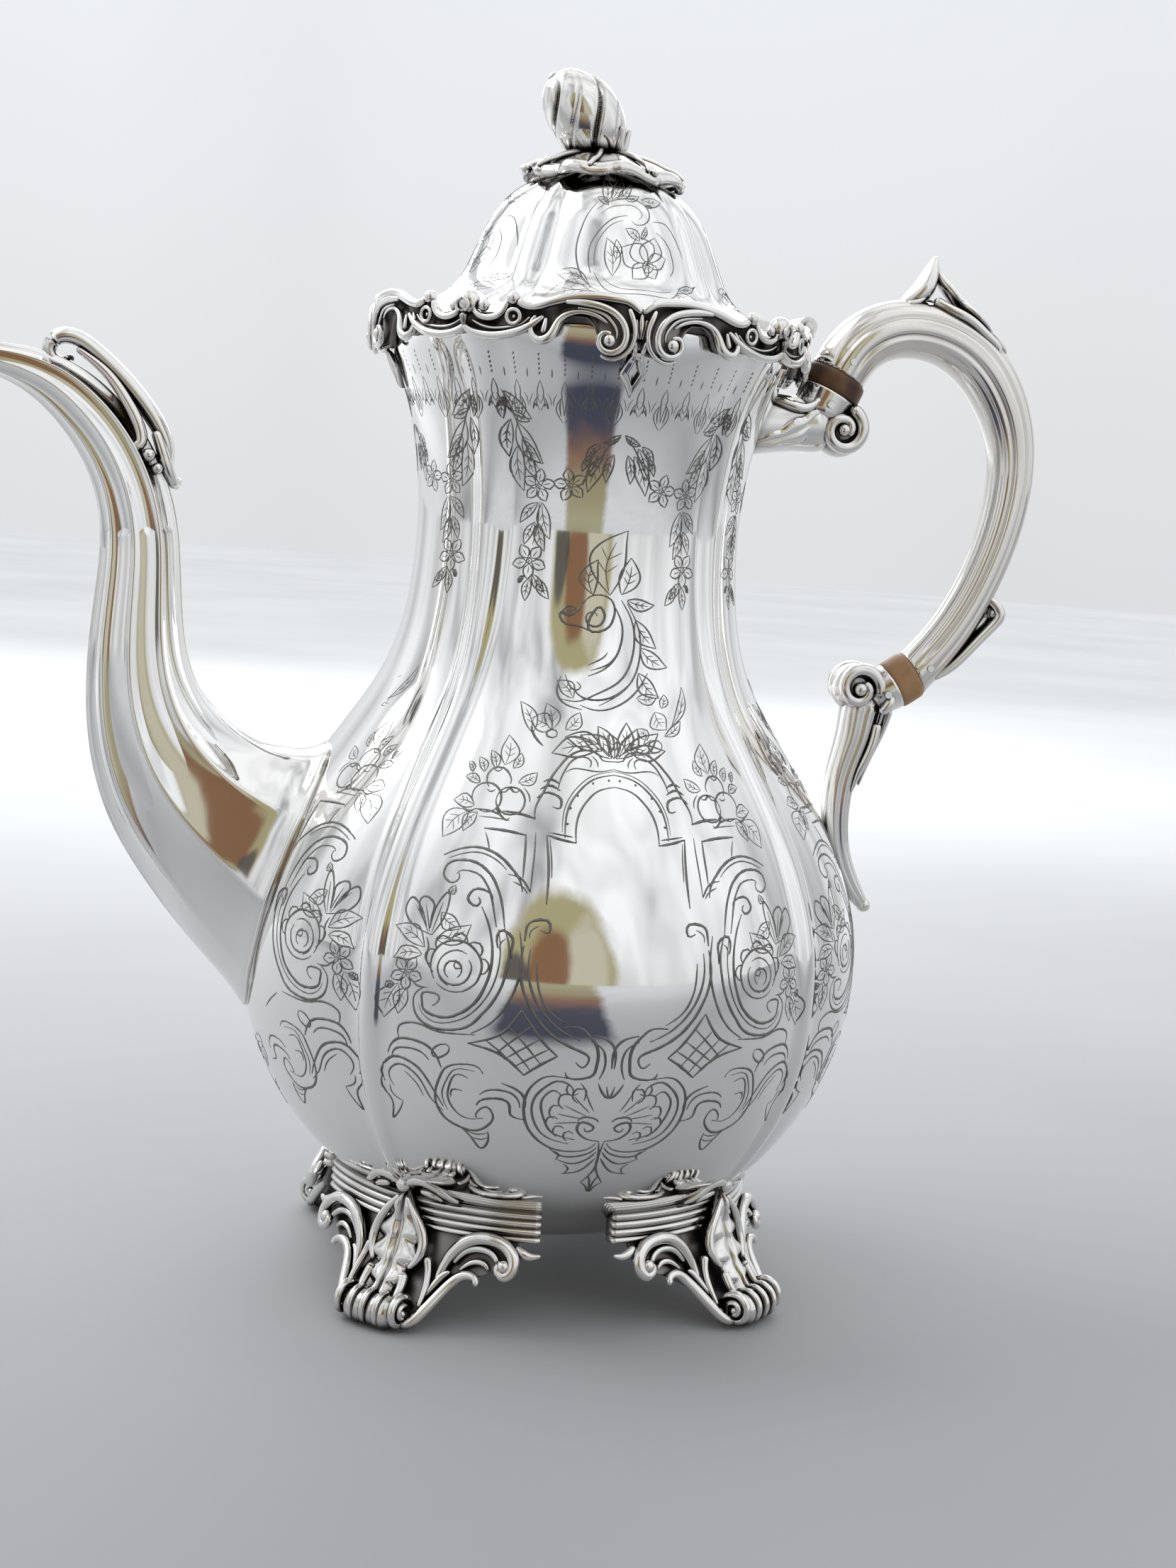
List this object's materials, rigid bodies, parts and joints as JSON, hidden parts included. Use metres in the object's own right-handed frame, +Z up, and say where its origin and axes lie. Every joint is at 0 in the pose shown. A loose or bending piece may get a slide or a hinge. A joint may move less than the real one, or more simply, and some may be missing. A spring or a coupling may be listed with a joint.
{
  "type": "silver coffee pot",
  "caption": "Baluster silver coffee pot with lobed and engraved body, swan-neck spout, hinged domed lid with bud finial, insulated scroll handle and cast feet.",
  "frame": {"origin": "middle of the pot's outline on the table plane", "axes": "+Z up; the spout points to -X and the handle to +X; the front engraved panel faces -Y"},
  "size_m": [0.2462, 0.1442, 0.2774],
  "materials": {
    "polished_silver": "hand-polished silver with soft scratches, darkened in the recesses",
    "cast_silver": "cast silver, bright on the crests and oxidised in the hollows",
    "silver_fittings": "plain silver, slightly dull",
    "ivory": "aged bone-like insulator, amber brown with fine grain"
  },
  "bodies": {
    "pot": {"body_shell": "polished_silver", "neck_shell": "polished_silver", "base_disc": "polished_silver", "rim_mount": "cast_silver", "rim_pendants": "cast_silver", "body_hinge_plate": "polished_silver", "hinge_pin": "silver_fittings", "spout_shell": "polished_silver", "spout_scroll_mount": "cast_silver", "upper_handle_socket": "cast_silver", "lower_handle_socket": "cast_silver", "upper_insulator": "ivory", "lower_insulator": "ivory", "handle_grip": "polished_silver", "handle_thumb_leaf": "cast_silver", "handle_tail_scroll": "cast_silver", "handle_pins": "silver_fittings", "foot_front_left": "cast_silver", "foot_front_right": "cast_silver", "foot_back_left": "cast_silver", "foot_back_right": "cast_silver"},
    "lid": {"lid_dome": "polished_silver", "lid_bezel": "polished_silver", "lid_hinge_leaf": "polished_silver", "finial_calyx": "cast_silver", "finial_bud": "cast_silver", "finial_stud": "silver_fittings", "finial_washer": "silver_fittings", "finial_nut": "silver_fittings"}
  },
  "joints": [
    {"name": "lid_hinge", "type": "hinge", "parent": "pot", "child": "lid", "pos_m": [0.0612, 0, 0.2244], "axis": [0, 1, 0], "range_deg": [0, 95]}
  ]
}
